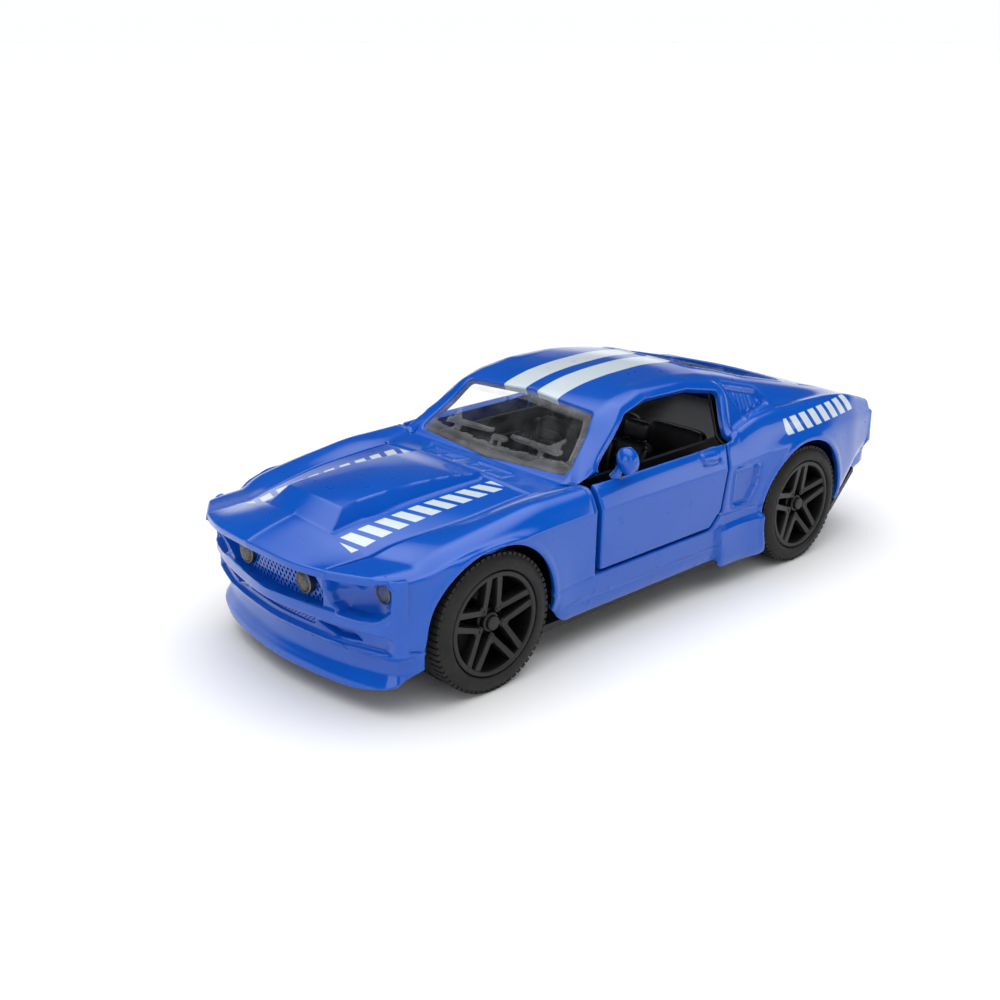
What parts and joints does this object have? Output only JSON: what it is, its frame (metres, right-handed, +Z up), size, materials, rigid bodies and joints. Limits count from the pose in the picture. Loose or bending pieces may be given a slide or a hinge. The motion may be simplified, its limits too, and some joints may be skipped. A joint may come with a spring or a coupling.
{
  "type": "diecast collector car",
  "caption": "Scale model fastback coupe in painted diecast metal, with opening doors, rolling wheels, clear glazing, a moulded cabin and a pull-back motor.",
  "frame": {"origin": "on the ground, under the middle of the car's overall length and width", "axes": "+X towards the nose, +Y towards the car's left, +Z up"},
  "size_m": [0.132, 0.053, 0.0382],
  "materials": {
    "body_paint": "gloss royal blue enamel over cast zinc",
    "trim_paint": "gloss blue moulded plastic",
    "clear_plastic": "clear moulded plastic",
    "black_plastic": "satin black moulded plastic",
    "screw_steel": "plain steel",
    "gear_plastic": "natural nylon",
    "lamp_smoke": "smoky clear lens",
    "lamp_red": "red lens",
    "rim_plastic": "satin black moulded plastic",
    "tyre_rubber": "matt soft rubber"
  },
  "bodies": {
    "body": {"body_shell": "body_paint", "front_fascia": "trim_paint", "tail_panel": "trim_paint", "window_glazing": "clear_plastic", "chassis_plate": "black_plastic", "interior_tub": "black_plastic", "dashboard": "black_plastic", "steering_wheel": "black_plastic", "motor_case_lower": "black_plastic", "motor_case_upper": "black_plastic", "chassis_screws": "screw_steel", "mainspring": "screw_steel", "headlamp_left": "lamp_smoke", "headlamp_right": "lamp_smoke", "driving_lamp_left": "lamp_smoke", "driving_lamp_right": "lamp_smoke", "tail_lamp_left": "lamp_red", "tail_lamp_right": "lamp_red"},
    "left_door": {"door_left": "body_paint", "mirror_left": "body_paint"},
    "right_door": {"door_right": "body_paint"},
    "front_wheelset": {"front_axle": "screw_steel", "front_rim_left": "rim_plastic", "front_rim_right": "rim_plastic", "front_tyre_left": "tyre_rubber", "front_tyre_right": "tyre_rubber"},
    "rear_wheelset": {"rear_axle": "screw_steel", "rear_rim_left": "rim_plastic", "rear_rim_right": "rim_plastic", "rear_tyre_left": "tyre_rubber", "rear_tyre_right": "tyre_rubber", "axle_pinion": "gear_plastic"},
    "idler": {"idler_gear": "gear_plastic"},
    "spring_wheel": {"spring_gear": "gear_plastic"}
  },
  "joints": [
    {"name": "left_door_hinge", "type": "hinge", "parent": "body", "child": "left_door", "pos_m": [0.0151, 0.0233, 0.018], "axis": [0, 0, -1], "range_deg": [0, 50]},
    {"name": "right_door_hinge", "type": "hinge", "parent": "body", "child": "right_door", "pos_m": [0.0151, -0.0233, 0.018], "axis": [0, 0, 1], "range_deg": [0, 50]},
    {"name": "front_axle_spin", "type": "hinge", "parent": "body", "child": "front_wheelset", "pos_m": [0.0408, 0, 0.0111], "axis": [0, 1, 0], "continuous": true},
    {"name": "rear_axle_spin", "type": "hinge", "parent": "body", "child": "rear_wheelset", "pos_m": [-0.0352, 0, 0.0111], "axis": [0, 1, 0], "continuous": true},
    {"name": "idler_spin", "type": "hinge", "parent": "body", "child": "idler", "pos_m": [-0.028, 0, 0.0111], "axis": [0, 1, 0], "continuous": true},
    {"name": "spring_wheel_spin", "type": "hinge", "parent": "body", "child": "spring_wheel", "pos_m": [-0.0208, 0, 0.0111], "axis": [0, 1, 0], "continuous": true}
  ],
  "couplings": [
    {"joint": "idler_spin", "follows": "rear_axle_spin", "ratio": -0.5},
    {"joint": "spring_wheel_spin", "follows": "rear_axle_spin", "ratio": 0.25}
  ]
}
